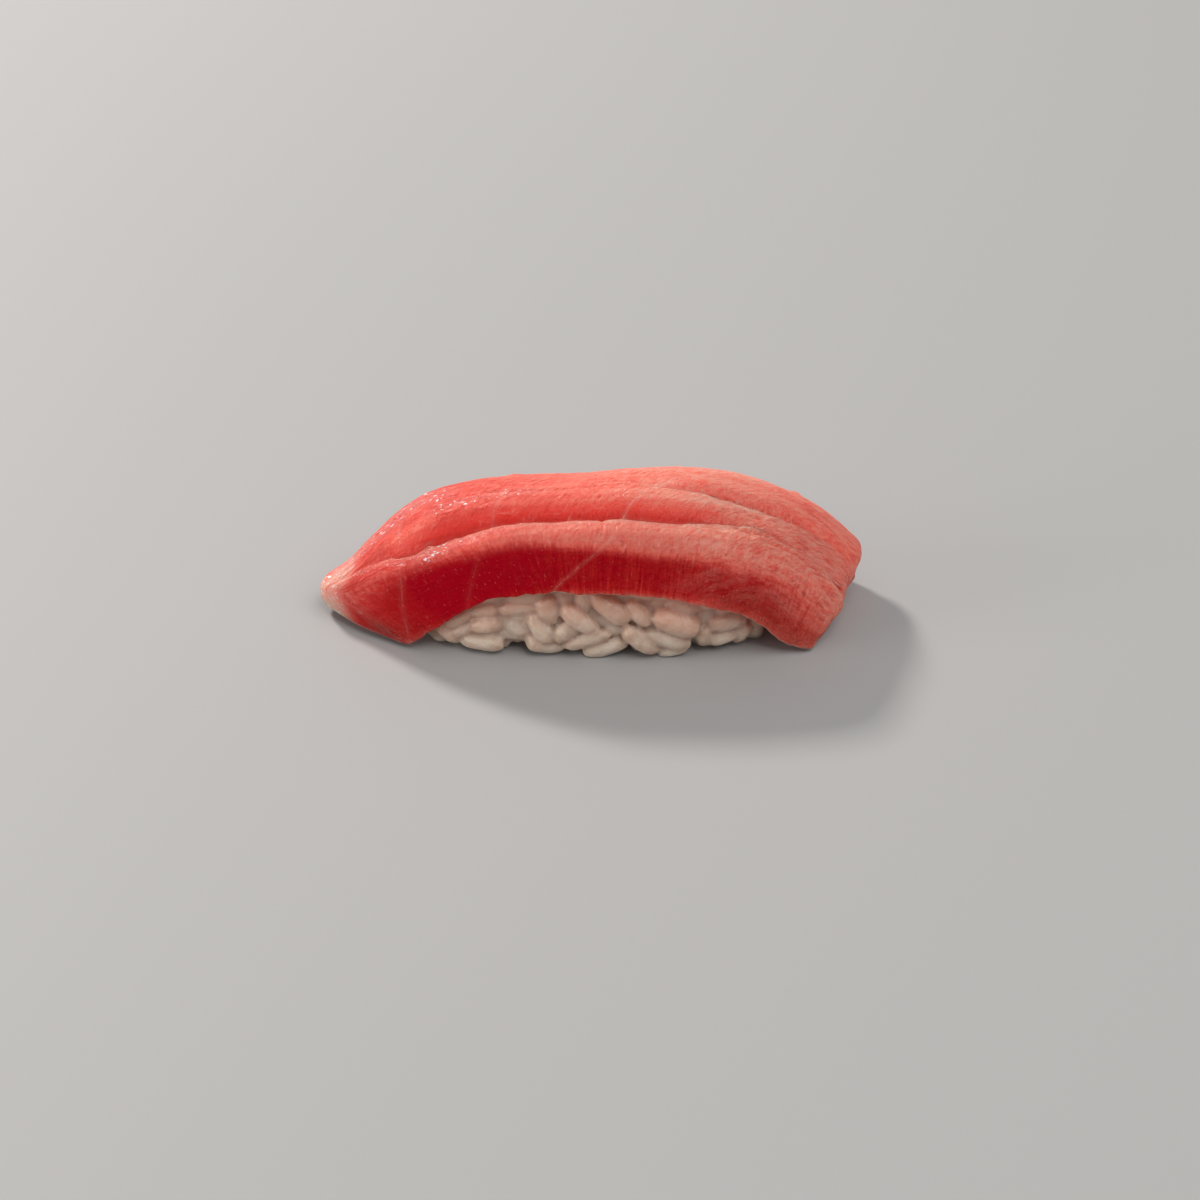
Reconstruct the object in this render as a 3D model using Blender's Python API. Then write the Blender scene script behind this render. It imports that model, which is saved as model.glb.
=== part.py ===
"""Tuna nigiri: a scored slice of fatty tuna draped over a hand-pressed bed of rice.

Blender 4.5, metres, +Z up. X runs along the slice from its pointed end to its blunt end,
-Y is the side where the rice shows most, and the origin is the middle of the footprint.
Two nodes: "tuna", the slice, and "rice", the pressed bed with its uneven, grainy outline.
"""

import math

import bpy
import numpy as np

MM = 0.001

TUNA_COLOUR = (0.62, 0.10, 0.08)
TUNA_ROUGHNESS = 0.35
RICE_COLOUR = (0.80, 0.72, 0.62)
RICE_ROUGHNESS = 0.45

# ---- the slice: outline seen from above ------------------------------------------------
# "lower" is the underside's edge, "upper" the edge of the scored face. Each list gives
# (place across the slice, reach), with -1 at the front edge and 1 at the back edge.
UPPER_LEFT_REACH = [(-1.0, -35.2), (-0.5, -37.6), (0.15, -38.5), (0.6, -37.2), (1.0, -33.5)]
LOWER_LEFT_REACH = [(-1.0, -25.3), (-0.6, -32.2), (-0.1, -37.6), (0.2, -38.7), (1.0, -32.0)]
UPPER_RIGHT_REACH = [(-1.0, 34.4), (-0.5, 36.2), (0.1, 38.0), (0.6, 39.4), (1.0, 39.0)]
LOWER_RIGHT_REACH = [(-1.0, 31.0), (-0.5, 33.6), (0.1, 35.4), (0.6, 36.6), (1.0, 36.0)]

# ---- the slice: profiles along its length ----------------------------------------------
# Each list gives (place along the slice, value in millimetres): -1 is the pointed end,
# 0 the middle of the rice and 1 the blunt end.
CROWN_HEIGHT = [
    (-1.0, 4.5), (-0.9, 7.6), (-0.82, 11.2), (-0.63, 18.2), (-0.42, 20.9), (-0.1, 21.8),
    (0.18, 22.6), (0.5, 21.0), (0.7, 17.5), (0.87, 12.7), (1.0, 7.0),
]
CROWN_PLACE = [(-1.0, 0.1), (-0.5, -0.05), (0.0, -0.1), (0.5, 0.2), (0.8, 0.4), (1.0, 0.5)]
FRONT_SHOULDER_HEIGHT = [
    (-1.0, 4.6), (-0.88, 8.8), (-0.76, 11.7), (-0.6, 15.2), (-0.4, 18.2), (-0.1, 18.9),
    (0.3, 18.6), (0.55, 17.4), (0.78, 14.2), (0.88, 10.6), (1.0, 4.5),
]
BACK_SHOULDER_HEIGHT = [
    (-1.0, 3.4), (-0.8, 7.6), (-0.6, 12.2), (-0.35, 15.0), (0.0, 15.8),
    (0.4, 15.8), (0.7, 13.4), (0.88, 10.2), (1.0, 6.2),
]
FRONT_EDGE_HEIGHT = [
    (-1.0, 0.4), (-0.82, 4.6), (-0.62, 8.9), (-0.35, 11.1), (0.0, 11.3),
    (0.3, 10.5), (0.55, 8.6), (0.75, 5.8), (0.85, 2.2), (1.0, 0.3),
]
UNDERSIDE_HEIGHT = [
    (-1.0, 1.6), (-0.8, 6.0), (-0.6, 11.0), (-0.35, 13.4), (0.0, 14.0),
    (0.35, 13.8), (0.6, 11.6), (0.8, 6.2), (1.0, 1.0),
]
BACK_EDGE_HEIGHT = [
    (-1.0, 1.4), (-0.8, 4.4), (-0.6, 7.6), (-0.3, 9.2), (0.1, 9.4),
    (0.5, 8.4), (0.75, 4.8), (1.0, 1.2),
]
FRONT_SHOULDER_OUT = [
    (-1.0, 3.0), (-0.86, 6.2), (-0.7, 8.6), (-0.4, 10.3), (0.0, 10.9),
    (0.4, 10.8), (0.75, 10.2), (0.9, 9.0), (1.0, 8.0),
]
FRONT_EDGE_OUT = [(-1.0, 10.2), (-0.7, 12.4), (-0.3, 13.5), (0.3, 13.6), (0.7, 12.8), (1.0, 10.8)]
BACK_SHOULDER_OUT = [(-1.0, 6.4), (-0.6, 9.2), (0.0, 10.2), (0.6, 10.2), (1.0, 9.4)]
BACK_EDGE_OUT = [(-1.0, 8.0), (-0.6, 11.6), (0.0, 12.8), (0.6, 12.6), (1.0, 10.4)]

# ---- the slice: rounding of its edges --------------------------------------------------
HALF_LENGTH = 37 * MM
HALF_WIDTH = 12 * MM
THICKNESS = 8.4 * MM
UPPER_ROUNDING = (0.9 * MM, 2.2 * MM, 2.4 * MM)
LOWER_ROUNDING = (0.6 * MM, 0.6 * MM, 0.8 * MM)

# ---- the slice: the two lengthwise scores ----------------------------------------------
# place is across the slice, step how much lower the front side lies, depth how far the
# score goes below that, and the rolls how far from the score each side begins to turn in,
# in millimetres. The first value of each pair is the place along the slice.
MAIN_SCORE = {
    "place": [
        (-1.0, -0.1), (-0.85, -0.46), (-0.7, -0.70), (-0.5, -0.68), (-0.3, -0.60),
        (0.0, -0.57), (0.4, -0.60), (0.66, -0.56), (0.75, -0.61), (0.86, -0.58), (1.0, -0.45),
    ],
    "step": [
        (-1.0, 0.0), (-0.85, 0.4), (-0.74, 1.1), (-0.62, 1.8), (-0.3, 1.9), (0.2, 1.9),
        (0.35, 1.7), (0.5, 1.1), (0.62, 0.4), (0.74, 0.1), (0.86, 0.0), (1.0, 0.0),
    ],
    "depth": [
        (-1.0, 0.0), (-0.86, 0.0), (-0.78, 0.1), (-0.72, 0.6), (-0.64, 1.0), (-0.4, 1.2), (0.3, 1.2),
        (0.5, 0.7), (0.64, 0.2), (0.8, 0.15), (1.0, 0.6),
    ],
    "front_roll": 0.9,
    "back_roll": [
        (-1.0, 6.0), (-0.8, 5.0), (-0.72, 3.0), (-0.65, 2.9), (-0.5, 3.3), (0.4, 3.3), (0.55, 3.4),
        (0.7, 4.0), (1.0, 4.0),
    ],
}
BACK_SCORE = {
    "place": [(-1.0, 0.15), (-0.5, -0.15), (0.0, -0.2), (0.4, -0.18), (0.65, -0.12), (0.82, 0.02), (1.0, 0.2)],
    "step": [(-1.0, 0.0), (0.0, 0.0), (0.2, 0.1), (0.4, 0.45), (0.6, 0.9), (0.9, 0.7), (1.0, 0.6)],
    "depth": [(-1.0, 0.0), (0.0, 0.0), (0.2, 0.12), (0.4, 0.4), (0.6, 0.9), (1.0, 0.9)],
    "front_roll": 1.4,
    "back_roll": [(-1.0, 2.2), (1.0, 2.2)],
}
FRONT_STEP_FADE = 5 * MM
FRONT_STEP_EASE = 1.5

# ---- the slice: how finely its block is divided ------------------------------------------
# Columns along it, spans across its three lobes, and rows down its side.
CAD_GRID = (31, (4, 5, 6), 3)
END_STEPS = 2
SIDE_STEPS = 3
LOWER_STEPS = 2
UPPER_STEPS = 4
SEARCH_ROUNDS = 8


# ---- the rice bed -----------------------------------------------------------------------
# Each ring of the bed is its outline scaled by the first value, at the height in
# millimetres given by the second. The rings above BED_TOP_SWELL carry the grains.
BED_CENTRE = (0.5 * MM, 0.0)
BED_HALF = (25.6 * MM, 11.9 * MM)
BED_SQUARENESS = 3.2
BED_TURNS = 124
BED_RINGS = [
    (0.94, 0.0), (0.96, 0.4), (0.98, 1.1), (0.99, 1.8), (1.0, 2.5), (1.01, 3.2), (1.015, 3.9),
    (1.015, 4.6), (1.01, 5.3), (1.005, 6.0), (1.0, 6.8), (0.99, 7.6), (0.98, 8.5), (0.97, 9.4),
    (0.95, 10.3), (0.92, 11.3), (0.86, 12.6), (0.74, 14.5), (0.4, 16.0),
]
BED_TOP_SWELL = 0.9
REST_GAP = 0.3 * MM

# ---- the rice: its grains as relief -----------------------------------------------------
GRAIN_LENGTH = 6.6 * MM
GRAIN_WIDTH = 3.0 * MM
GRAIN_RELIEF = 1.6 * MM
GRAIN_TILT = math.radians(70)
GRAIN_TILT_TURN = 2.3
GRAIN_OUT_TURN = 5.1
GRAIN_OUT = (0.3, 1.0)
GRAIN_SET_IN = 0.7
GRAIN_COUNT = 120
GRAIN_LEVELS = (0.6 * MM, 12.0 * MM)
GRAIN_SPREAD = (0.7548776662, 0.5698402910)


def curve(points, at):
    """A smooth curve through the points, read at each value: cubic with averaged slopes."""
    xs, ys = (np.array(v, float) for v in zip(*points))
    slopes = np.gradient(ys, xs)
    at = np.clip(np.asarray(at, float), xs[0], xs[-1])
    i = np.clip(np.searchsorted(xs, at) - 1, 0, len(xs) - 2)
    width = xs[i + 1] - xs[i]
    t = (at - xs[i]) / width
    return (
        ys[i] * (1 + 2 * t) * (1 - t) ** 2
        + ys[i + 1] * t * t * (3 - 2 * t)
        + slopes[i] * width * t * (1 - t) ** 2
        - slopes[i + 1] * width * t * t * (1 - t)
    )


def scored(along, across):
    """How far the scored face lies above or below its plain arch, in metres."""
    out = np.zeros(np.broadcast(along, across).shape)
    for score in (MAIN_SCORE, BACK_SCORE):
        place = curve(score["place"], along)
        step = curve(score["step"], along) * MM
        depth = curve(score["depth"], along) * MM
        gap = (across - place) * HALF_WIDTH
        front = np.clip(1 + gap / (score["front_roll"] * MM), 0, 1)
        back = np.clip(1 - gap / (curve(score["back_roll"], along) * MM), 0, 1)
        valley = 1 - np.sqrt(1 - np.where(gap < 0, front, back) ** 2)
        lowered = step * np.clip(1 + gap / FRONT_STEP_FADE, 0, 1) ** FRONT_STEP_EASE
        out -= np.where(gap < 0, lowered + depth * valley, (step + depth) * valley)
    return out


def reach(left, right, along, across):
    return np.where(along < 0, -along * curve(left, across), along * curve(right, across)) * MM


def arch(along, across, front, crown, back):
    """Height over the width: down from the crown to the front and to the back shoulder."""
    top = curve(crown, along)
    place = curve(CROWN_PLACE, along)
    before = np.clip((place - across) / (1 + place), 0, 1) ** 2
    behind = np.clip((across - place) / (1 - place), 0, 1) ** 2
    return (top - (top - curve(front, along)) * before - (top - curve(back, along)) * behind) * MM


def slice_point(along, across, up):
    """World place of a point of the slice: along and across from -1 to 1, up from 0 to 1."""
    upper = np.stack([
        reach(UPPER_LEFT_REACH, UPPER_RIGHT_REACH, along, across),
        np.where(across < 0, across * curve(FRONT_SHOULDER_OUT, along),
                 across * curve(BACK_SHOULDER_OUT, along)) * MM,
        arch(along, across, FRONT_SHOULDER_HEIGHT, CROWN_HEIGHT, BACK_SHOULDER_HEIGHT)
        + scored(along, across),
    ], -1)
    lower = np.stack([
        reach(LOWER_LEFT_REACH, LOWER_RIGHT_REACH, along, across),
        np.where(across < 0, across * curve(FRONT_EDGE_OUT, along),
                 across * curve(BACK_EDGE_OUT, along)) * MM,
        arch(along, across, FRONT_EDGE_HEIGHT, UNDERSIDE_HEIGHT, BACK_EDGE_HEIGHT),
    ], -1)
    return lower + (upper - lower) * np.asarray(up)[..., None]


def rounded(along, across, up):
    """Moves points of the sharp block's surface onto the same block with rounded edges."""
    room = np.stack([
        (1 - np.abs(along)) * HALF_LENGTH,
        (1 - np.abs(across)) * HALF_WIDTH,
        np.minimum(up, 1 - up) * THICKNESS,
    ], -1)
    high = (np.asarray(up) >= 0.5)[..., None]
    radii = np.where(high, np.array(UPPER_ROUNDING), np.array(LOWER_ROUNDING))
    near = np.clip(1 - room / radii, 0, 1)
    length = np.linalg.norm(near, axis=-1, keepdims=True)
    near = near / np.maximum(length, 1e-9)
    left = np.where(near > 0, radii * (1 - near), room)
    along = np.sign(along) * (1 - left[..., 0] / HALF_LENGTH)
    across = np.sign(across) * (1 - left[..., 1] / HALF_WIDTH)
    up = np.where(high[..., 0], 1 - left[..., 2] / THICKNESS, left[..., 2] / THICKNESS)
    return along, across, up


def rounding_steps(radius, size, count):
    """Places from 0 to radius/size, spaced so that the rounding gets even facets."""
    return [radius / size * (1 - math.tan(math.pi / 4 * (1 - i / count))) for i in range(count)]


def ease(a, b, count, close_a, close_b):
    """count + 1 places from a to b, closer together at the ends asked for."""
    t = np.linspace(0, 1, count + 1)
    if close_a and close_b:
        t = (1 - np.cos(math.pi * t)) / 2
    elif close_a:
        t = 1 - np.cos(math.pi / 2 * t)
    elif close_b:
        t = np.sin(math.pi / 2 * t)
    return a + (b - a) * t


def block_grid(lengthwise, lobes, rows):
    """The block's grid lines: along, across (for each line along, following the scores), up."""
    ends = rounding_steps(UPPER_ROUNDING[0], HALF_LENGTH, END_STEPS)
    last = 1 - UPPER_ROUNDING[0] / HALF_LENGTH
    inner = np.linspace(-last, last, lengthwise)
    along = np.array([-1 + e for e in ends] + list(inner) + [1 - e for e in reversed(ends)])
    sides = rounding_steps(UPPER_ROUNDING[1], HALF_WIDTH, SIDE_STEPS)
    limit = 1 - UPPER_ROUNDING[1] / HALF_WIDTH
    across = []
    for s in along:
        first, second = curve(MAIN_SCORE["place"], s), curve(BACK_SCORE["place"], s)
        across.append(
            [-1 + e for e in sides]
            + list(ease(-limit, first, lobes[0], False, True))[:-1]
            + list(ease(first, second, lobes[1], True, True))[:-1]
            + list(ease(second, limit, lobes[2], True, False))
            + [1 - e for e in reversed(sides)]
        )
    low = rounding_steps(LOWER_ROUNDING[2], THICKNESS, LOWER_STEPS)
    high = rounding_steps(UPPER_ROUNDING[2], THICKNESS, UPPER_STEPS)
    middle = np.linspace(LOWER_ROUNDING[2] / THICKNESS, 1 - UPPER_ROUNDING[2] / THICKNESS, rows)
    up = np.array(low + list(middle) + [1 - e for e in reversed(high)])
    return along, np.array(across), up


def block_surface(along, across, up):
    """Points and faces of the surface of a block given by its grid lines."""
    n, m, k = len(along), across.shape[1], len(up)
    index = {}
    points, faces = [], []

    def vertex(i, j, l):
        if (i, j, l) not in index:
            index[i, j, l] = len(points)
            points.append((along[i], across[i, j], up[l]))
        return index[i, j, l]

    def patch(corner, count_a, count_b, flip):
        for a in range(count_a - 1):
            for b in range(count_b - 1):
                face = [corner(a, b), corner(a + 1, b), corner(a + 1, b + 1), corner(a, b + 1)]
                faces.append(face[::-1] if flip else face)

    patch(lambda a, b: vertex(a, b, k - 1), n, m, False)
    patch(lambda a, b: vertex(a, b, 0), n, m, True)
    patch(lambda a, b: vertex(a, 0, b), n, k, False)
    patch(lambda a, b: vertex(a, m - 1, b), n, k, True)
    patch(lambda a, b: vertex(0, a, b), m, k, True)
    patch(lambda a, b: vertex(n - 1, a, b), m, k, False)
    return np.array(points), faces


def on_slice(x, y):
    """The place along and across the slice whose underside lies over a world point."""
    along = np.clip(x / HALF_LENGTH, -1, 1)
    across = np.zeros_like(along)
    for _ in range(SEARCH_ROUNDS):
        front, back = curve(FRONT_EDGE_OUT, along), curve(BACK_EDGE_OUT, along)
        across = np.clip(y / (np.where(y < 0, front, back) * MM), -1, 1)
        left, right = curve(LOWER_LEFT_REACH, across), curve(LOWER_RIGHT_REACH, across)
        along = np.clip(x / (np.where(x < 0, -left, right) * MM), -1, 1)
    return along, across


def underside(x, y):
    along, across = on_slice(x, y)
    return arch(along, across, FRONT_EDGE_HEIGHT, UNDERSIDE_HEIGHT, BACK_EDGE_HEIGHT)


def loaf_outline(turn):
    """A point of the bed's plan outline at its widest, for a turn from 0 to 1."""
    angle = 2 * math.pi * turn
    c, s = np.cos(angle), np.sin(angle)
    size = (np.abs(c) ** BED_SQUARENESS + np.abs(s) ** BED_SQUARENESS) ** (-1 / BED_SQUARENESS)
    return np.stack([BED_CENTRE[0] + BED_HALF[0] * size * c, BED_CENTRE[1] + BED_HALF[1] * size * s], -1)


def grain_relief(along_outline, height, outline_length):
    """How far the packed grains stand out at places given along the outline and in height."""
    relief = np.zeros(np.broadcast(along_outline, height).shape)
    for i in range(GRAIN_COUNT):
        middle = i * GRAIN_SPREAD[0] % 1 * outline_length
        level = GRAIN_LEVELS[0] + i * GRAIN_SPREAD[1] % 1 * (GRAIN_LEVELS[1] - GRAIN_LEVELS[0])
        tilt = GRAIN_TILT * math.sin(GRAIN_TILT_TURN * i)
        share = (1 + math.sin(GRAIN_OUT_TURN * i)) / 2
        out = GRAIN_OUT[0] + share * (GRAIN_OUT[1] - GRAIN_OUT[0])
        aside = (along_outline - middle + outline_length / 2) % outline_length - outline_length / 2
        up = height - level
        lengthwise = (aside * math.cos(tilt) + up * math.sin(tilt)) / (GRAIN_LENGTH / 2)
        sideways = (up * math.cos(tilt) - aside * math.sin(tilt)) / (GRAIN_WIDTH / 2)
        swell = np.sqrt(np.clip(1 - lengthwise**2 - sideways**2, 0, 1))
        relief = np.maximum(relief, GRAIN_RELIEF * out * swell)
    return relief


def rice_surface():
    """Points and faces of the pressed bed: a flat foot, grainy sides, a top under the slice."""
    turns = np.arange(BED_TURNS) / BED_TURNS
    outline = loaf_outline(turns)
    steps = np.linalg.norm(np.roll(outline, -1, 0) - outline, axis=1)
    walked = np.concatenate([[0], np.cumsum(steps)])[:-1]
    middle = np.array(BED_CENTRE)
    rings = []
    for swell, level in BED_RINGS:
        relief = grain_relief(walked, level * MM, steps.sum())
        inwards = (outline - middle) * swell
        length = np.linalg.norm(inwards, axis=1, keepdims=True)
        shift = (relief - GRAIN_RELIEF * GRAIN_SET_IN)[:, None] if swell > BED_TOP_SWELL else 0
        plan = middle + inwards * (1 + shift / length)
        height = np.minimum(level * MM, underside(*plan.T) - REST_GAP)
        rings.append(np.column_stack([plan, height]))
    points = np.concatenate(rings + [[[*middle, underside(*middle) - REST_GAP]]])
    n = BED_TURNS
    faces = [list(range(n))[::-1]]
    for ring in range(len(BED_RINGS) - 1):
        for i in range(n):
            j = (i + 1) % n
            faces.append([ring * n + i, ring * n + j, (ring + 1) * n + j, (ring + 1) * n + i])
    last = (len(BED_RINGS) - 1) * n
    faces += [[last + i, last + (i + 1) % n, len(points) - 1] for i in range(n)]
    return points, faces


def make_object(name, points, faces, colour, roughness):
    """One named solid with a plain material of its own."""
    mesh = bpy.data.meshes.new(name)
    mesh.from_pydata([tuple(p) for p in points], [], faces)
    mesh.shade_smooth()
    material = bpy.data.materials.new(name)
    material.use_nodes = True
    shader = material.node_tree.nodes["Principled BSDF"]
    shader.inputs["Base Color"].default_value = (*colour, 1)
    shader.inputs["Roughness"].default_value = roughness
    mesh.materials.append(material)
    obj = bpy.data.objects.new(name, mesh)
    bpy.context.scene.collection.objects.link(obj)
    return obj


def main():
    for obj in list(bpy.data.objects):
        bpy.data.objects.remove(obj)
    blocks, tuna_faces = block_surface(*block_grid(*CAD_GRID))
    tuna_points = slice_point(*rounded(*blocks.T))
    rice_points, rice_faces = rice_surface()
    middle = (tuna_points.min(0) + tuna_points.max(0)) / 2 * (1, 1, 0)
    make_object("rice", rice_points - middle, rice_faces, RICE_COLOUR, RICE_ROUGHNESS)
    make_object("tuna", tuna_points - middle, tuna_faces, TUNA_COLOUR, TUNA_ROUGHNESS)


main()
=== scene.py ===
"""Looks of the tuna nigiri: the slice's flesh, real grains of rice, floor, light and camera."""

import math

import bpy
import numpy as np
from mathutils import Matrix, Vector, noise


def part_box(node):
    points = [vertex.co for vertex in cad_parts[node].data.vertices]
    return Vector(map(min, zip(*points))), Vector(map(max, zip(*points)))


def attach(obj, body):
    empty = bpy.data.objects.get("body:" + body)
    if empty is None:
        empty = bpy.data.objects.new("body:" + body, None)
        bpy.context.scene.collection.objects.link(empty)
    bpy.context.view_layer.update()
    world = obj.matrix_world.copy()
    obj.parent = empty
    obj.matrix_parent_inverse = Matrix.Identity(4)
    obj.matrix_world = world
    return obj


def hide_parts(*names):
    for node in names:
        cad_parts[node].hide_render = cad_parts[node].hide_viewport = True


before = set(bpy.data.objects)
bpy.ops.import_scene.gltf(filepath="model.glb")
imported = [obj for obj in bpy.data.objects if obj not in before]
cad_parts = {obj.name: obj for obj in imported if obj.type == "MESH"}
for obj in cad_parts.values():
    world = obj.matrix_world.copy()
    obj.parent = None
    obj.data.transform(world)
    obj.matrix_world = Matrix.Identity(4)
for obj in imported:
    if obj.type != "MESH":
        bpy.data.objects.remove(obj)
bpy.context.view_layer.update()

MM = 0.001

# The slice and the bed have the same shape tables as the CAD solids they stand for.

# ---- the slice: outline seen from above ------------------------------------------------
# "lower" is the underside's edge, "upper" the edge of the scored face. Each list gives
# (place across the slice, reach), with -1 at the front edge and 1 at the back edge.
UPPER_LEFT_REACH = [(-1.0, -35.2), (-0.5, -37.6), (0.15, -38.5), (0.6, -37.2), (1.0, -33.5)]
LOWER_LEFT_REACH = [(-1.0, -25.3), (-0.6, -32.2), (-0.1, -37.6), (0.2, -38.7), (1.0, -32.0)]
UPPER_RIGHT_REACH = [(-1.0, 34.4), (-0.5, 36.2), (0.1, 38.0), (0.6, 39.4), (1.0, 39.0)]
LOWER_RIGHT_REACH = [(-1.0, 31.0), (-0.5, 33.6), (0.1, 35.4), (0.6, 36.6), (1.0, 36.0)]

# ---- the slice: profiles along its length ----------------------------------------------
# Each list gives (place along the slice, value in millimetres): -1 is the pointed end,
# 0 the middle of the rice and 1 the blunt end.
CROWN_HEIGHT = [
    (-1.0, 4.5), (-0.9, 7.6), (-0.82, 11.2), (-0.63, 18.2), (-0.42, 20.9), (-0.1, 21.8),
    (0.18, 22.6), (0.5, 21.0), (0.7, 17.5), (0.87, 12.7), (1.0, 7.0),
]
CROWN_PLACE = [(-1.0, 0.1), (-0.5, -0.05), (0.0, -0.1), (0.5, 0.2), (0.8, 0.4), (1.0, 0.5)]
FRONT_SHOULDER_HEIGHT = [
    (-1.0, 4.6), (-0.88, 8.8), (-0.76, 11.7), (-0.6, 15.2), (-0.4, 18.2), (-0.1, 18.9),
    (0.3, 18.6), (0.55, 17.4), (0.78, 14.2), (0.88, 10.6), (1.0, 4.5),
]
BACK_SHOULDER_HEIGHT = [
    (-1.0, 3.4), (-0.8, 7.6), (-0.6, 12.2), (-0.35, 15.0), (0.0, 15.8),
    (0.4, 15.8), (0.7, 13.4), (0.88, 10.2), (1.0, 6.2),
]
FRONT_EDGE_HEIGHT = [
    (-1.0, 0.4), (-0.82, 4.6), (-0.62, 8.9), (-0.35, 11.1), (0.0, 11.3),
    (0.3, 10.5), (0.55, 8.6), (0.75, 5.8), (0.85, 2.2), (1.0, 0.3),
]
UNDERSIDE_HEIGHT = [
    (-1.0, 1.6), (-0.8, 6.0), (-0.6, 11.0), (-0.35, 13.4), (0.0, 14.0),
    (0.35, 13.8), (0.6, 11.6), (0.8, 6.2), (1.0, 1.0),
]
BACK_EDGE_HEIGHT = [
    (-1.0, 1.4), (-0.8, 4.4), (-0.6, 7.6), (-0.3, 9.2), (0.1, 9.4),
    (0.5, 8.4), (0.75, 4.8), (1.0, 1.2),
]
FRONT_SHOULDER_OUT = [
    (-1.0, 3.0), (-0.86, 6.2), (-0.7, 8.6), (-0.4, 10.3), (0.0, 10.9),
    (0.4, 10.8), (0.75, 10.2), (0.9, 9.0), (1.0, 8.0),
]
FRONT_EDGE_OUT = [(-1.0, 10.2), (-0.7, 12.4), (-0.3, 13.5), (0.3, 13.6), (0.7, 12.8), (1.0, 10.8)]
BACK_SHOULDER_OUT = [(-1.0, 6.4), (-0.6, 9.2), (0.0, 10.2), (0.6, 10.2), (1.0, 9.4)]
BACK_EDGE_OUT = [(-1.0, 8.0), (-0.6, 11.6), (0.0, 12.8), (0.6, 12.6), (1.0, 10.4)]

# ---- the slice: rounding of its edges --------------------------------------------------
HALF_LENGTH = 37 * MM
HALF_WIDTH = 12 * MM
THICKNESS = 8.4 * MM
UPPER_ROUNDING = (0.9 * MM, 2.2 * MM, 2.4 * MM)
LOWER_ROUNDING = (0.6 * MM, 0.6 * MM, 0.8 * MM)

# ---- the slice: the two lengthwise scores ----------------------------------------------
# place is across the slice, step how much lower the front side lies, depth how far the
# score goes below that, and the rolls how far from the score each side begins to turn in,
# in millimetres. The first value of each pair is the place along the slice.
MAIN_SCORE = {
    "place": [
        (-1.0, -0.1), (-0.85, -0.46), (-0.7, -0.70), (-0.5, -0.68), (-0.3, -0.60),
        (0.0, -0.57), (0.4, -0.60), (0.66, -0.56), (0.75, -0.61), (0.86, -0.58), (1.0, -0.45),
    ],
    "step": [
        (-1.0, 0.0), (-0.85, 0.4), (-0.74, 1.1), (-0.62, 1.8), (-0.3, 1.9), (0.2, 1.9),
        (0.35, 1.7), (0.5, 1.1), (0.62, 0.4), (0.74, 0.1), (0.86, 0.0), (1.0, 0.0),
    ],
    "depth": [
        (-1.0, 0.0), (-0.86, 0.0), (-0.78, 0.1), (-0.72, 0.6), (-0.64, 1.0), (-0.4, 1.2), (0.3, 1.2),
        (0.5, 0.7), (0.64, 0.2), (0.8, 0.15), (1.0, 0.6),
    ],
    "front_roll": 0.9,
    "back_roll": [
        (-1.0, 6.0), (-0.8, 5.0), (-0.72, 3.0), (-0.65, 2.9), (-0.5, 3.3), (0.4, 3.3), (0.55, 3.4),
        (0.7, 4.0), (1.0, 4.0),
    ],
}
BACK_SCORE = {
    "place": [(-1.0, 0.15), (-0.5, -0.15), (0.0, -0.2), (0.4, -0.18), (0.65, -0.12), (0.82, 0.02), (1.0, 0.2)],
    "step": [(-1.0, 0.0), (0.0, 0.0), (0.2, 0.1), (0.4, 0.45), (0.6, 0.9), (0.9, 0.7), (1.0, 0.6)],
    "depth": [(-1.0, 0.0), (0.0, 0.0), (0.2, 0.12), (0.4, 0.4), (0.6, 0.9), (1.0, 0.9)],
    "front_roll": 1.4,
    "back_roll": [(-1.0, 2.2), (1.0, 2.2)],
}
FRONT_STEP_FADE = 5 * MM
FRONT_STEP_EASE = 1.5

# ---- the slice: how finely its block is divided ------------------------------------------
# Columns along it, spans across its three lobes, and rows down its side.
CAD_GRID = (31, (4, 5, 6), 3)
END_STEPS = 2
SIDE_STEPS = 3
LOWER_STEPS = 2
UPPER_STEPS = 4
SEARCH_ROUNDS = 8


# ---- the rice bed -----------------------------------------------------------------------
# Each ring of the bed is its outline scaled by the first value, at the height in
# millimetres given by the second. The rings above BED_TOP_SWELL carry the grains.
BED_CENTRE = (0.5 * MM, 0.0)
BED_HALF = (25.6 * MM, 11.9 * MM)
BED_SQUARENESS = 3.2
BED_TURNS = 124
BED_RINGS = [
    (0.94, 0.0), (0.96, 0.4), (0.98, 1.1), (0.99, 1.8), (1.0, 2.5), (1.01, 3.2), (1.015, 3.9),
    (1.015, 4.6), (1.01, 5.3), (1.005, 6.0), (1.0, 6.8), (0.99, 7.6), (0.98, 8.5), (0.97, 9.4),
    (0.95, 10.3), (0.92, 11.3), (0.86, 12.6), (0.74, 14.5), (0.4, 16.0),
]
BED_TOP_SWELL = 0.9
REST_GAP = 0.3 * MM


def curve(points, at):
    """A smooth curve through the points, read at each value: cubic with averaged slopes."""
    xs, ys = (np.array(v, float) for v in zip(*points))
    slopes = np.gradient(ys, xs)
    at = np.clip(np.asarray(at, float), xs[0], xs[-1])
    i = np.clip(np.searchsorted(xs, at) - 1, 0, len(xs) - 2)
    width = xs[i + 1] - xs[i]
    t = (at - xs[i]) / width
    return (
        ys[i] * (1 + 2 * t) * (1 - t) ** 2
        + ys[i + 1] * t * t * (3 - 2 * t)
        + slopes[i] * width * t * (1 - t) ** 2
        - slopes[i + 1] * width * t * t * (1 - t)
    )


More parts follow.
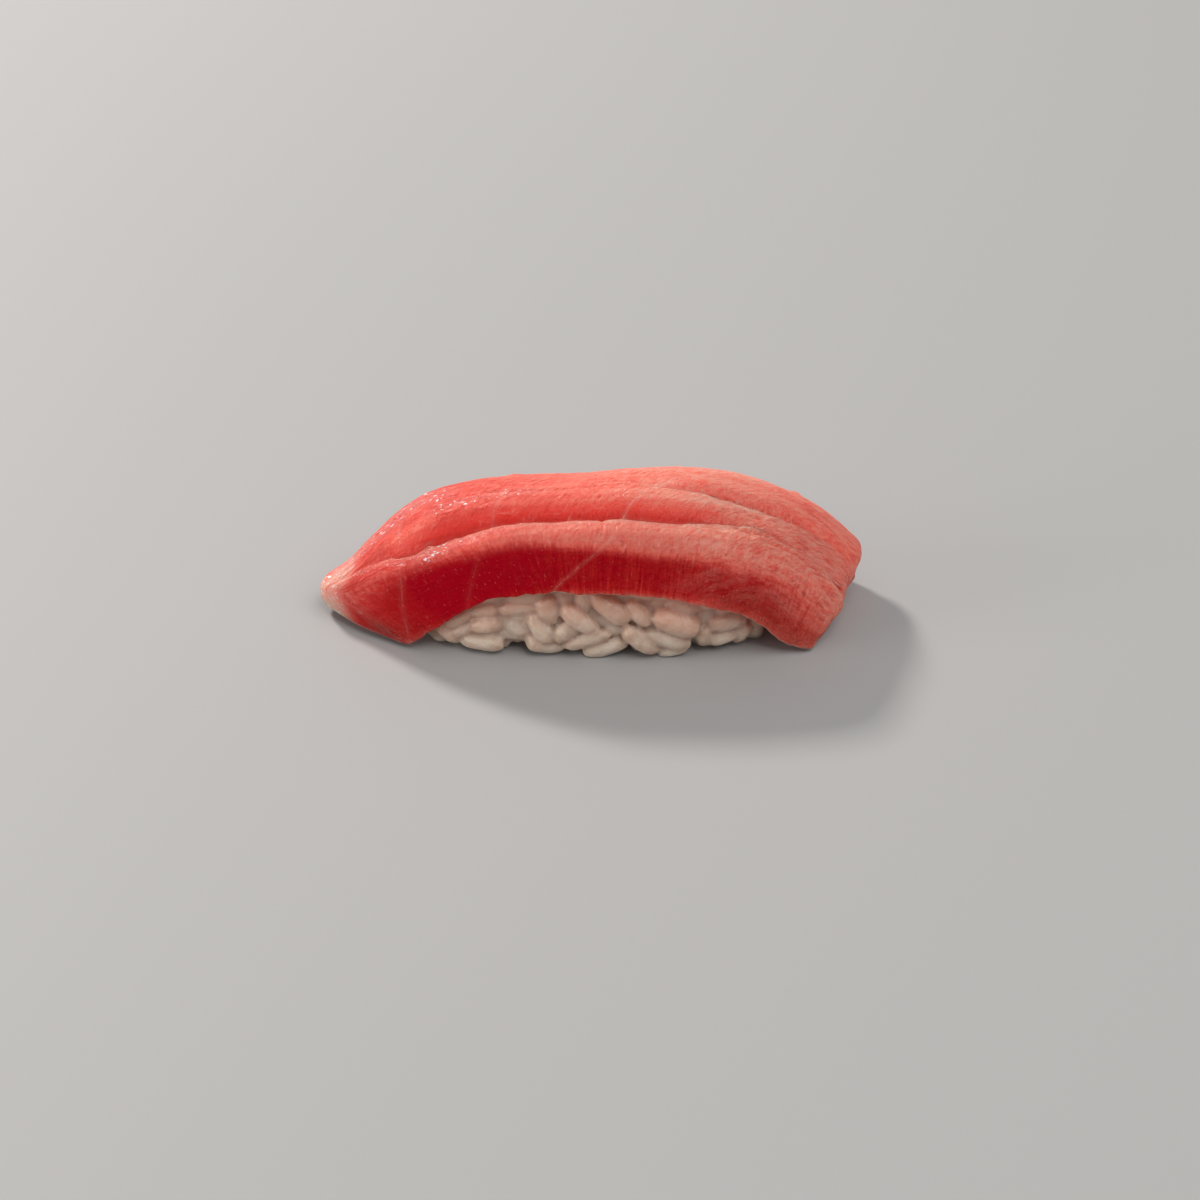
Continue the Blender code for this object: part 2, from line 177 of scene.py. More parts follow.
def scored(along, across):
    """How far the scored face lies above or below its plain arch, in metres."""
    out = np.zeros(np.broadcast(along, across).shape)
    for score in (MAIN_SCORE, BACK_SCORE):
        place = curve(score["place"], along)
        step = curve(score["step"], along) * MM
        depth = curve(score["depth"], along) * MM
        gap = (across - place) * HALF_WIDTH
        front = np.clip(1 + gap / (score["front_roll"] * MM), 0, 1)
        back = np.clip(1 - gap / (curve(score["back_roll"], along) * MM), 0, 1)
        valley = 1 - np.sqrt(1 - np.where(gap < 0, front, back) ** 2)
        lowered = step * np.clip(1 + gap / FRONT_STEP_FADE, 0, 1) ** FRONT_STEP_EASE
        out -= np.where(gap < 0, lowered + depth * valley, (step + depth) * valley)
    return out


def reach(left, right, along, across):
    return np.where(along < 0, -along * curve(left, across), along * curve(right, across)) * MM


def arch(along, across, front, crown, back):
    """Height over the width: down from the crown to the front and to the back shoulder."""
    top = curve(crown, along)
    place = curve(CROWN_PLACE, along)
    before = np.clip((place - across) / (1 + place), 0, 1) ** 2
    behind = np.clip((across - place) / (1 - place), 0, 1) ** 2
    return (top - (top - curve(front, along)) * before - (top - curve(back, along)) * behind) * MM


def slice_point(along, across, up):
    """World place of a point of the slice: along and across from -1 to 1, up from 0 to 1."""
    upper = np.stack([
        reach(UPPER_LEFT_REACH, UPPER_RIGHT_REACH, along, across),
        np.where(across < 0, across * curve(FRONT_SHOULDER_OUT, along),
                 across * curve(BACK_SHOULDER_OUT, along)) * MM,
        arch(along, across, FRONT_SHOULDER_HEIGHT, CROWN_HEIGHT, BACK_SHOULDER_HEIGHT)
        + scored(along, across),
    ], -1)
    lower = np.stack([
        reach(LOWER_LEFT_REACH, LOWER_RIGHT_REACH, along, across),
        np.where(across < 0, across * curve(FRONT_EDGE_OUT, along),
                 across * curve(BACK_EDGE_OUT, along)) * MM,
        arch(along, across, FRONT_EDGE_HEIGHT, UNDERSIDE_HEIGHT, BACK_EDGE_HEIGHT),
    ], -1)
    return lower + (upper - lower) * np.asarray(up)[..., None]


def rounded(along, across, up):
    """Moves points of the sharp block's surface onto the same block with rounded edges."""
    room = np.stack([
        (1 - np.abs(along)) * HALF_LENGTH,
        (1 - np.abs(across)) * HALF_WIDTH,
        np.minimum(up, 1 - up) * THICKNESS,
    ], -1)
    high = (np.asarray(up) >= 0.5)[..., None]
    radii = np.where(high, np.array(UPPER_ROUNDING), np.array(LOWER_ROUNDING))
    near = np.clip(1 - room / radii, 0, 1)
    length = np.linalg.norm(near, axis=-1, keepdims=True)
    near = near / np.maximum(length, 1e-9)
    left = np.where(near > 0, radii * (1 - near), room)
    along = np.sign(along) * (1 - left[..., 0] / HALF_LENGTH)
    across = np.sign(across) * (1 - left[..., 1] / HALF_WIDTH)
    up = np.where(high[..., 0], 1 - left[..., 2] / THICKNESS, left[..., 2] / THICKNESS)
    return along, across, up


def rounding_steps(radius, size, count):
    """Places from 0 to radius/size, spaced so that the rounding gets even facets."""
    return [radius / size * (1 - math.tan(math.pi / 4 * (1 - i / count))) for i in range(count)]


def ease(a, b, count, close_a, close_b):
    """count + 1 places from a to b, closer together at the ends asked for."""
    t = np.linspace(0, 1, count + 1)
    if close_a and close_b:
        t = (1 - np.cos(math.pi * t)) / 2
    elif close_a:
        t = 1 - np.cos(math.pi / 2 * t)
    elif close_b:
        t = np.sin(math.pi / 2 * t)
    return a + (b - a) * t


def block_grid(lengthwise, lobes, rows):
    """The block's grid lines: along, across (for each line along, following the scores), up."""
    ends = rounding_steps(UPPER_ROUNDING[0], HALF_LENGTH, END_STEPS)
    last = 1 - UPPER_ROUNDING[0] / HALF_LENGTH
    inner = np.linspace(-last, last, lengthwise)
    along = np.array([-1 + e for e in ends] + list(inner) + [1 - e for e in reversed(ends)])
    sides = rounding_steps(UPPER_ROUNDING[1], HALF_WIDTH, SIDE_STEPS)
    limit = 1 - UPPER_ROUNDING[1] / HALF_WIDTH
    across = []
    for s in along:
        first, second = curve(MAIN_SCORE["place"], s), curve(BACK_SCORE["place"], s)
        across.append(
            [-1 + e for e in sides]
            + list(ease(-limit, first, lobes[0], False, True))[:-1]
            + list(ease(first, second, lobes[1], True, True))[:-1]
            + list(ease(second, limit, lobes[2], True, False))
            + [1 - e for e in reversed(sides)]
        )
    low = rounding_steps(LOWER_ROUNDING[2], THICKNESS, LOWER_STEPS)
    high = rounding_steps(UPPER_ROUNDING[2], THICKNESS, UPPER_STEPS)
    middle = np.linspace(LOWER_ROUNDING[2] / THICKNESS, 1 - UPPER_ROUNDING[2] / THICKNESS, rows)
    up = np.array(low + list(middle) + [1 - e for e in reversed(high)])
    return along, np.array(across), up


def block_surface(along, across, up):
    """Points and faces of the surface of a block given by its grid lines."""
    n, m, k = len(along), across.shape[1], len(up)
    index = {}
    points, faces = [], []

    def vertex(i, j, l):
        if (i, j, l) not in index:
            index[i, j, l] = len(points)
            points.append((along[i], across[i, j], up[l]))
        return index[i, j, l]

    def patch(corner, count_a, count_b, flip):
        for a in range(count_a - 1):
            for b in range(count_b - 1):
                face = [corner(a, b), corner(a + 1, b), corner(a + 1, b + 1), corner(a, b + 1)]
                faces.append(face[::-1] if flip else face)

    patch(lambda a, b: vertex(a, b, k - 1), n, m, False)
    patch(lambda a, b: vertex(a, b, 0), n, m, True)
    patch(lambda a, b: vertex(a, 0, b), n, k, False)
    patch(lambda a, b: vertex(a, m - 1, b), n, k, True)
    patch(lambda a, b: vertex(0, a, b), m, k, True)
    patch(lambda a, b: vertex(n - 1, a, b), m, k, False)
    return np.array(points), faces


def on_slice(x, y):
    """The place along and across the slice whose underside lies over a world point."""
    along = np.clip(x / HALF_LENGTH, -1, 1)
    across = np.zeros_like(along)
    for _ in range(SEARCH_ROUNDS):
        front, back = curve(FRONT_EDGE_OUT, along), curve(BACK_EDGE_OUT, along)
        across = np.clip(y / (np.where(y < 0, front, back) * MM), -1, 1)
        left, right = curve(LOWER_LEFT_REACH, across), curve(LOWER_RIGHT_REACH, across)
        along = np.clip(x / (np.where(x < 0, -left, right) * MM), -1, 1)
    return along, across


def underside(x, y):
    along, across = on_slice(x, y)
    return arch(along, across, FRONT_EDGE_HEIGHT, UNDERSIDE_HEIGHT, BACK_EDGE_HEIGHT)


def loaf_outline(turn):
    """A point of the bed's plan outline at its widest, for a turn from 0 to 1."""
    angle = 2 * math.pi * turn
    c, s = np.cos(angle), np.sin(angle)
    size = (np.abs(c) ** BED_SQUARENESS + np.abs(s) ** BED_SQUARENESS) ** (-1 / BED_SQUARENESS)
    return np.stack([BED_CENTRE[0] + BED_HALF[0] * size * c, BED_CENTRE[1] + BED_HALF[1] * size * s], -1)


# ---- the slice as a fine mesh -----------------------------------------------------------
# Flat coordinates say where a point lies in the slice before it bends, in millimetres:
# x along it, y across it and how far below its scored face.
FINE_GRID = (300, (28, 28, 34), 22)
FLAT_SIZE = np.array((38.0, 12.5, 8.2))

# Where the pale scored face gives way to the deep red of the cut side, in millimetres below. The red is partly the
# flesh's own and partly painted shade of the side turned away from the light.
SIDE_START = [
    (-38, 1.6), (-31, 0.8), (-26, 0.7), (-18, 1.2), (-10, 0.9), (0, 1.3), (8, 1.9), (18, 2.2), (27, 2.4), (38, 2.6),
]
# How wide that change is, in millimetres.
SIDE_BLEND = [(-38, 5.0), (-32, 4.4), (-27, 3.6), (-20, 3.0), (-10, 2.4), (0, 2.4), (15, 3.0), (25, 3.8), (38, 5.0)]
# How deep red the cut side is, from 0, the palest, to 1: partly the flesh's own red, partly painted shade of the side
# turned away from the light.
SIDE_TONE_AND_SHADE = [(-38, 0.76), (-34, 0.84), (-30.5, 0.97), (-12, 1.0), (-3, 0.92), (8, 0.88), (16, 0.87), (24, 0.80), (31, 0.68), (38, 0.50)]

# Small torn tags on the scored face: place, radius and height.
TAGS = [
    (-22.6, 1.2, 0.4, 0.4), (-27.2, 0.6, 0.35, 0.25), (-29.6, 0.4, 0.35, 0.3), (-36.8, 0.8, 0.5, 0.4),
    (-37.4, -3.4, 0.5, 0.35), (12.0, 8.0, 0.7, 0.25), (-11.0, 7.5, 1.0, 0.3), (18.0, 9.0, 0.8, 0.3),
    (28.0, 8.5, 0.7, 0.3), (36.2, -9.4, 0.9, 0.5), (35.0, -11.6, 0.8, 0.5), (-29.0, -4.6, 1.2, 0.35),
]
# Lumps and notches of the blunt end: place across, how far below, radius and how far out.
END_LUMPS = [(-6.9, 0.4, 0.7, -1.0), (-8.9, 1.3, 1.5, 0.5), (-11.2, 6.2, 1.1, -0.9), (3.0, 0.4, 0.9, -0.5), (-3.0, 1.5, 1.6, -0.4)]
# Torn places on the lip of the main score: place along, half-width and height.
LIP_TEARS = [(-23.3, 0.8, 0.7), (-24.5, 0.5, 0.3), (-19.4, 0.4, 0.25), (1.6, 0.4, -0.5), (13.5, 0.8, -0.2), (-28.6, 0.5, 0.3)]

# Cracks in the torn end, knife lines and a fold: the points they run through, in flat x and
# y, and their depth.
CRACKS = [
    ([(21.0, -8.0), (22.8, -8.4), (25.7, -8.1), (27.1, -9.4), (30.1, -9.0), (33.7, -8.8)], 0.40),
    ([(29.6, -6.6), (31.8, -5.9), (33.2, -5.6), (34.8, -4.4)], 0.30),
    ([(24.0, -10.8), (26.4, -10.9), (28.6, -11.6)], 0.22),
    ([(36.0, -6.0), (37.2, -7.4)], 0.60),
    ([(-24.0, -2.2), (-15.0, -2.9), (-6.0, -2.8), (5.0, -2.4)], 0.12),
    ([(-21.0, -0.4), (-12.0, -1.2), (-2.0, -1.0)], 0.08),
    ([(-36.5, -4.6), (-33.0, -5.6), (-29.0, -6.9)], 0.15),
]


def field(points, period, seed):
    """Smooth noise from -1 to 1 at each point, with features of about the given size."""
    shifted = points / period + seed * 17.31
    return np.array([noise.noise(Vector(p)) for p in shifted])


def smooth(values, low, high):
    t = np.clip((values - low) / (high - low), 0, 1)
    return t * t * (3 - 2 * t)


def between(values, start, full, fade, end):
    """Rises from 0 at start to 1 at full, and falls from 1 at fade to 0 at end."""
    return smooth(values, start, full) * (1 - smooth(values, fade, end))


def score_gap(score, along, across):
    """How far behind a score a place lies, in millimetres."""
    return (across - curve(score["place"], along)) * HALF_WIDTH / MM


def flesh_masks(along, across, up):
    """What the flesh is like at each place, and where light and shade are painted on it, each from 0 to 1."""
    x, y = along * FLAT_SIZE[0], across * FLAT_SIZE[1]
    below = (1 - up) * FLAT_SIZE[2]
    lip = score_gap(MAIN_SCORE, along, across)
    valley = score_gap(BACK_SCORE, along, across)
    past_edge = below - (1 - np.abs(across)) * FLAT_SIZE[1] - curve(SIDE_START, x)
    blend = curve(SIDE_BLEND, x)
    side = smooth(past_edge, -0.5 * blend, 0.5 * blend)
    end = 1 - smooth(x, -37.6, -34.0)
    side = np.maximum(side, end * smooth(below, 0.8, 4.4) * smooth(-y, -3, 1.5))
    face = 1 - side
    # roll marks the walls of the scores, where a painted glow of light through the lobe and, at the foot, painted shade
    # are put.
    roll = between(lip, -0.1, 0.3, 0.3, 2.6) * between(x, -31, -25, 14, 24)
    roll = np.maximum(roll, between(valley, -0.3, 0.4, 0.5, 2.2) * between(x, 8, 18, 30, 40) * 0.55) * face
    fat = smooth(x, -16, 20) - 0.60 * smooth(x, 20, 32)
    left = 1 - smooth(x, -24, -10)
    middle = between(lip, 1.5, 3.0, 5.0, 7.0) * between(x, 0, 14, 24, 32)
    # A paler patch where the wall of the main score begins on the left: painted glow of light through the rounded lobe.
    bulge_glow = np.exp(-(((x + 24.5) / 4.0) ** 2) - (((lip - 2.6) / 1.6) ** 2))
    strip = (1 - smooth(lip, -0.6, 0.2)) * smooth(x, -32, -12)
    # The lip's rim is painted paler: partly pale fat, partly painted highlight where light grazes the edge.
    rim = between(lip, -2.4, -0.9, -0.3, 0.2) * face * between(x, -35, -29, 16, 24)
    # The pointed tip is painted paler and orange below: painted glow of light shining through the thin tip.
    past_corner = (y + 12.5) - (x + 38.0) - 0.6 * below
    tip = smooth(past_corner, 0.0, 6.0) * (1 - smooth(x, -35.5, -31.5)) * (1 - 0.8 * smooth(y, -2, 4))
    top = 0.48 - 0.24 * fat + 0.12 * left - 0.04 * strip - 0.10 * rim - 0.14 * tip
    top = top - 0.16 * bulge_glow - 0.10 * middle
    # The deep red is painted paler at the tip and along the thin lower edge, here and on the next line: painted glow of
    # light shining through.
    deep = curve(SIDE_TONE_AND_SHADE, x) - 0.42 * tip - 0.16 * smooth(below, 6.2, 8.2) * smooth(x, -16, 0)
    deep = deep - 0.22 * smooth(below, 6.8, 8.2)
    # Where the flesh is wet: more coat and bumps, and painted sheen and glints.
    ridge = between(y, -3.4, -1.6, 0.8, 2.6) * (1 - smooth(x, -23, -17))
    crease = between(lip, -3.2, -1.8, -0.7, -0.2) * between(x, -38, -36, -16, -10)
    row = between(lip, 3.0, 3.8, 4.4, 5.4) * between(x, -24, -21, -10, -4) * 0.8
    wet_with_painted_glints = np.maximum.reduce([ridge * face, rim * 0.5 * (1 - smooth(x, 0, 6)), crease * face * 0.55, row * face, tip * smooth(-y, -9, -4) * 0.8])
    return {
        # The tone runs from fatty pink to deep red. Painted shade darkens the cut side, and painted light makes the
        # tip, the hem, the bulge and the rim paler.
        "lean_with_painted_light": top * face + deep * side,
        "side": side,
        "roll": roll,
        "tip": tip,
        "torn": between(x, 8, 22, 36, 39) * (1 - smooth(y, -3, 2)) * (1 - 0.65 * side),
        "strip": strip,
        "wet_with_painted_glints": wet_with_painted_glints,
    }


def make_slice():
    """The slice at full detail, with the flat coordinates and masks its material reads."""
    blocks, faces = block_surface(*block_grid(*FINE_GRID))
    along, across, up = rounded(*blocks.T)
    points = slice_point(along, across, up)
    mesh = bpy.data.meshes.new("tuna_slice")
    mesh.from_pydata(points.tolist(), [], faces)
    mesh.shade_smooth()
    normals = np.zeros(len(points) * 3)
    mesh.vertices.foreach_get("normal", normals)
    normals = normals.reshape(-1, 3)
    flat = np.column_stack([along, across, 1 - up]) * FLAT_SIZE
    masks = flesh_masks(along, across, up)
    lip = score_gap(MAIN_SCORE, along, across)
    points = points + normals * slice_relief(flat, lip, masks)[:, None] + lip_waver(flat, lip, masks)
    mesh.vertices.foreach_set("co", fit_in(points, "tuna").ravel())
    mesh.attributes.new("flat", "FLOAT_VECTOR", "POINT").data.foreach_set("vector", flat.ravel())
    for name, values in masks.items():
        mesh.attributes.new(name, "FLOAT", "POINT").data.foreach_set("value", values)
    mesh.update()
    return add(mesh)


def slice_relief(flat, lip, masks):
    """How far the surface stands out of its smooth shape, in metres."""
    x, y, below = flat.T
    side, torn = masks["side"], masks["torn"]
    relief = 0.13 * field(flat, 7.0, 1) + 0.06 * field(flat, 2.4, 2)
    relief += 0.035 * field(flat * (1, 1, 0.18), 0.8, 3)
    knife = between(x, -34, -22, 4, 16) * (1 - side) * smooth(lip, 0.5, 2.0)
    relief += 0.07 * knife * field(flat * (0.08, 1, 1), 1.0, 6)
    turned = flat @ np.array([(0.8, -0.35, 0), (0.6, 1.3, 0), (0, 0, 1)])
    ridges = 1 - 2 * np.abs(field(turned, 1.7, 4))
    relief += torn * (0.17 * ridges + 0.09 * field(flat, 0.9, 5))
    relief += 0.13 * masks["wet_with_painted_glints"] * field(flat * (0.7, 1, 1), 0.9, 7)
    for route, depth in CRACKS:
        relief -= depth * np.exp(-((route_distance(flat, route) / 0.28) ** 2)) * (below < 3)
    for at_x, at_y, radius, height in TAGS:
        relief += height * np.exp(-((x - at_x) ** 2 + (y - at_y) ** 2) / radius**2) * (below < 2.5)
    relief *= 1 - np.exp(-((lip / 1.2) ** 2)) * smooth(x, 27, 32)
    hem = smooth(below, 6.0, 8.0) * (1 - smooth(y, -11, -9))
    relief += hem * (0.32 * field(flat * (1, 0, 0), 4.3, 13) + 0.14 * field(flat * (1, 0, 0), 1.3, 14))
    end = smooth(x, 34.5, 37)
    for at_y, depth, radius, out in END_LUMPS:
        relief += end * out * np.exp(-((y - at_y) ** 2 + (below - depth) ** 2) / radius**2)
    return relief * MM


def route_distance(flat, route):
    """Distance in the slice's plane from each point to a route."""
    nearest = np.full(len(flat), 99.0)
    for start, end in zip(route, route[1:]):
        start, run = np.array(start), np.array(end) - start
        share = np.clip((flat[:, :2] - start) @ run / (run @ run), 0, 1)[:, None]
        nearest = np.minimum(nearest, np.linalg.norm(flat[:, :2] - start - share * run, axis=1))
    return nearest


def lip_waver(flat, lip, masks):
    """How the lip of the main score wanders and tears, in metres."""
    x = flat[:, 0]
    line = np.column_stack([x, x * 0, x * 0])
    near = np.exp(-((lip / 1.3) ** 2)) * (1 - masks["side"]) * between(x, -34, -30, 20, 26)
    edge = np.where(lip < 0.25, np.exp(-((lip / 1.1) ** 2)), 0) * (1 - masks["side"])
    rise = 0.16 * field(line, 2.2, 8) + 0.07 * field(line, 0.8, 9)
    for place, radius, height in LIP_TEARS:
        rise += height * np.exp(-(((x - place) / radius) ** 2))
    return np.column_stack([x * 0, 0.3 * near * field(line, 4.5, 10), rise * edge]) * MM


def fit_in(points, node):
    """The points moved and, where they would stand out of it, shrunk into a CAD node's box."""
    low, high = (np.array(v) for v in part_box(node))
    middle = (points.min(0) + points.max(0)) / 2
    size = points.max(0) - points.min(0)
    scale = np.minimum(1, (high - low) / size)
    return (low + high) / 2 + (points - middle) * scale


def add(mesh):
    piece = bpy.data.objects.new(mesh.name, mesh)
    bpy.context.scene.collection.objects.link(piece)
    return piece


# ---- the rice -----------------------------------------------------------------------------
# The grains that show most, along the front of the bed. Each row gives the place along the
# bed and the height of the grain's middle, how far its +X end is raised in degrees, its
# length and width, and how far it stands proud of the bed's side, all in millimetres.
FRONT_GRAINS = [
    (-20.0, 2.8, -50, 4.4, 3.2, 0.3), (-15.3, 1.75, 2, 6.5, 2.7, 0.4), (-14.7, 4.8, 14, 4.6, 2.8, 0.3),
    (-15.2, 7.1, 8, 5.2, 2.8, -0.2), (-10.8, 4.4, -28, 5.4, 2.7, -0.6), (-10.0, 7.5, 6, 5.6, 2.8, 0.1),
    (-6.0, 7.6, -72, 4.6, 3.2, 0.3), (-7.0, 4.6, -58, 5.2, 2.9, 0.3), (-1.5, 6.2, -38, 6.9, 2.8, 0.7),
    (2.7, 7.9, -36, 6.7, 3.1, 0.6), (-3.6, 4.2, 42, 4.2, 2.9, 0.4), (-0.4, 3.0, 22, 7.0, 2.7, 0.6),
    (2.0, 1.45, 15, 6.8, 2.6, 0.4), (6.8, 3.0, -40, 6.5, 3.0, 0.9), (6.6, 7.1, -52, 4.8, 3.1, 0.4),
    (11.8, 5.8, -20, 7.1, 3.9, 1.3), (10.6, 3.0, -18, 6.6, 3.0, 0.5), (11.2, 1.2, 12, 4.8, 2.4, 0.3),
    (12.9, 8.1, -8, 5.2, 2.9, 0.2), (15.9, 6.2, -62, 4.6, 2.7, -0.5), (19.0, 5.0, 4, 5.8, 2.9, 0.2),
    (15.7, 3.0, 80, 3.9, 2.5, 0.0), (18.3, 2.2, 6, 4.4, 2.5, 0.1), (20.8, 2.6, 62, 3.8, 2.5, 0.0),
    (16.4, 8.4, 10, 5.0, 2.8, 0.0), (-18.6, 5.2, 30, 4.8, 2.8, 0.1), (-6.4, 1.8, -14, 5.6, 2.6, 0.1),
]
# How far the bottom of the bed's front edge stands off what it rests on, in millimetres.
FOOT = [(-24, 2.0), (-20, 1.2), (-15, 0.5), (-12.5, 0.9), (-10.5, 2.6), (-8, 1.4), (-4, 0.4), (10, 0.0), (14, 0.8), (17, 1.4), (24, 1.8)]
SIDE_GRAINS = 190
FOOT_GRAINS = 46
TUCKED_GRAINS = 12
GRAIN_SIZE = (6.3, 2.95)
PACKED = 0.80
PACK_ROUNDS = 140
CORE_SHRINK = 1.5 * MM
PRESSED = 0.22
WELD_SIZE = 0.24 * MM
SOFTEN_ROUNDS = 1
SEAM_WIDTH = 0.32 * MM
# How far under the slice the painted shade and red bounce light reach.
RED_BOUNCE_DEPTH = 7.5 * MM


def bed_swell(height):
    levels = [(level * MM, swell) for swell, level in BED_RINGS[:16]]
    return np.interp(height, *zip(*levels))


def keep_in_bed(ends, margin):
    """Moves capsule ends that stick out of the bed back inside it."""
    x, y, z = ends.T
    front = smooth(-y / MM, 7.5, 9.5)
    floor = margin * 0.85 + front * np.interp(x / MM, *zip(*FOOT)) * MM
    z = np.maximum(z, floor)
    swell = bed_swell(z)
    a = BED_HALF[0] * swell - margin
    b = BED_HALF[1] * swell - margin
    u, v = (x - BED_CENTRE[0]) / a, (y - BED_CENTRE[1]) / b
    p = BED_SQUARENESS
    out = np.maximum((np.abs(u) ** p + np.abs(v) ** p) ** (1 / p), 1e-6)
    slope_u = np.sign(u) * (np.abs(u) / out) ** (p - 1) / a
    slope_v = np.sign(v) * (np.abs(v) / out) ** (p - 1) / b
    over = np.maximum(out - 1, 0) / (slope_u**2 + slope_v**2)
    x = x - over * slope_u
    y = y - over * slope_v
    z = np.minimum(z, underside(x, y) - REST_GAP - margin * 0.9)
    return np.column_stack([x, y, np.maximum(z, floor)])


def closest(a, u, b, v):
    """Places s and t from -1 to 1 on the cores a + s u and b + t v that are nearest each other."""
    r = a - b
    uu, vv, uv = (u * u).sum(-1), (v * v).sum(-1), (u * v).sum(-1)
    ru, rv = (r * u).sum(-1), (r * v).sum(-1)
    s = np.clip((uv * rv - vv * ru) / np.maximum(uu * vv - uv * uv, 1e-14), -1, 1)
    t = np.clip((uv * s + rv) / vv, -1, 1)
    s = np.clip((uv * t - ru) / uu, -1, 1)
    return s, t


def front_side(x, z, inset):
    """World places on the bed's front side, at places along it and heights, set in by inset."""
    swell = bed_swell(z)
    share = np.clip(np.abs(x - BED_CENTRE[0]) / (BED_HALF[0] * swell), 0, 1) ** BED_SQUARENESS
    y = -BED_HALF[1] * swell * (1 - share) ** (1 / BED_SQUARENESS) + inset
    return np.stack([x, y, z], -1)


def lay_front_grains():
    """Middles, half-cores and radii of the listed front grains."""
    x, z, tilt, length, width, proud = np.array(FRONT_GRAINS).T
    x, z, radius = x * MM, z * MM, width / 2 * MM
    half, tilt = length / 2 * MM - radius, np.radians(tilt)
    inset = radius - proud * MM
    tips, tails = (
        front_side(x + way * half * np.cos(tilt), z + way * half * np.sin(tilt), inset) for way in (1, -1)
    )
    return (tips + tails) / 2, (tips - tails) / 2, radius


def scatter_grains(rng):
    """Middles, half-cores and radii of the other grains, before they are pressed together."""
    turn = rng.uniform(0, 2 * math.pi, SIDE_GRAINS)
    x, y = loaf_outline(turn / (2 * math.pi)).T
    depth = rng.uniform(0.70, 0.97, SIDE_GRAINS)
    side = np.column_stack([x * depth, y * depth, rng.uniform(1.2, 12.5, SIDE_GRAINS) * MM])
    foot = rng.uniform((-0.85, -0.85, 0.0), (0.85, 0.85, 0.0), (FOOT_GRAINS, 3))
    foot = foot * (*BED_HALF, 0) + (0, 0, 1.4 * MM)
    outward = np.column_stack([x * BED_HALF[1] ** 2, y * BED_HALF[0] ** 2, x * 0])
    outward /= np.linalg.norm(outward, axis=1, keepdims=True)
    side_aim = rng.normal(size=(SIDE_GRAINS, 3)) * (1, 1, 0.75)
    side_aim -= outward * (side_aim * outward).sum(1, keepdims=True) * 0.75
    foot_aim = rng.normal(size=(FOOT_GRAINS, 3)) * (1, 1, 0.15)
    along = np.linspace(-19, 21, TUCKED_GRAINS) * MM
    tucked = front_side(along, 0 * along + 7 * MM, 1.2 * MM)
    tucked[:, 2] = underside(*tucked[:, :2].T) - 2.0 * MM
    tucked_aim = rng.normal(size=(TUCKED_GRAINS, 3)) * (1, 0.2, 0.5) + (1, 0, 0)
    middles = np.concatenate([side, foot, tucked])
    aims = np.concatenate([side_aim, foot_aim, tucked_aim])
    size = np.array(GRAIN_SIZE) * rng.uniform((0.86, 0.92), (1.08, 1.08), (len(middles), 2)) * MM / 2
    cores = aims / np.linalg.norm(aims, axis=1, keepdims=True) * (size[:, :1] - size[:, 1:])
    return middles, cores, size[:, 1]


def pack_grains(rng):
    """Middles, half-cores and radii of all the grains, pressed together in the bed."""
    laid, loose = lay_front_grains(), scatter_grains(rng)
    middles, cores, radii = (np.concatenate(pair) for pair in zip(laid, loose))
    free = (np.arange(len(middles)) >= len(FRONT_GRAINS)) * 1.0
    halves = np.linalg.norm(cores, axis=1)
    first, second = np.triu_indices(len(middles), 1)
    reach_of_pair = halves[first] + halves[second] + radii[first] + radii[second]
    for _ in range(PACK_ROUNDS):
        near = np.linalg.norm(middles[first] - middles[second], axis=1) < reach_of_pair
        i, j = first[near], second[near]
        s, t = closest(middles[i], cores[i], middles[j], cores[j])
        gap = middles[i] + s[:, None] * cores[i] - middles[j] - t[:, None] * cores[j]
        distance = np.linalg.norm(gap, axis=1, keepdims=True)
        apart = ((radii[i] + radii[j]) * PACKED)[:, None]
        push = np.maximum(apart - distance, 0) / np.maximum(distance, 1e-9) * gap * 0.25
        push_i, push_j = push * free[i, None], -push * free[j, None]
        np.add.at(middles, i, push_i)
        np.add.at(middles, j, push_j)
        np.add.at(cores, i, push_i * s[:, None] * 0.8)
        np.add.at(cores, j, push_j * t[:, None] * 0.8)
        middles[:, :2] *= 1 + 0.002 * free[:, None]
        tips, tails = (keep_in_bed(middles + way * cores, radii) for way in (1, -1))
        moved = free[:, None] > 0
        middles = np.where(moved, (tips + tails) / 2, middles)
        cores = np.where(moved, tips - tails, cores)
        cores *= (halves / np.linalg.norm(cores, axis=1))[:, None]
    return middles, cores, radii


def grain_shape(rng, rings=16, turns=18):
    """One plump cooked grain along X, its length and width 2: points and faces."""
    bend, flat, taper = rng.uniform(-0.08, 0.08), rng.uniform(0.78, 1.0), rng.uniform(-0.20, 0.20)
    blunt = rng.uniform(2.6, 4.0)
    angles = 2 * math.pi * np.arange(turns) / turns
    points = []
    for k in range(rings + 1):
        t = -math.cos(math.pi * k / rings)
        width = (1 - abs(t) ** blunt) ** 0.5 * (1 + taper * t)
        for angle in angles:
            y, z = width * math.cos(angle), width * math.sin(angle) * flat
            points.append((t, y, z + bend * (1 - t * t) * 2))
    faces = []
    for k in range(rings):
        for i in range(turns):
            j = (i + 1) % turns
            faces.append([k * turns + i, k * turns + j, (k + 1) * turns + j, (k + 1) * turns + i])
    return np.array(points), faces


def press_together(grains, middles, cores, radii):
    """Flattens each grain where it meets the others."""
    halves = np.linalg.norm(cores, axis=1)
    for i, points in enumerate(grains):
        close = np.linalg.norm(middles - middles[i], axis=1) < halves + radii + halves[i] + radii[i]
        for j in np.flatnonzero(close):
            if j == i:
                continue
            share = ((points - middles[j]) @ cores[j]) / (cores[j] @ cores[j])
            away = points - middles[j] - np.clip(share, -1, 1)[:, None] * cores[j]
            distance = np.linalg.norm(away, axis=1, keepdims=True)
            inside = np.maximum(radii[j] - distance, 0)
            points += away / np.maximum(distance, 1e-9) * inside * PRESSED


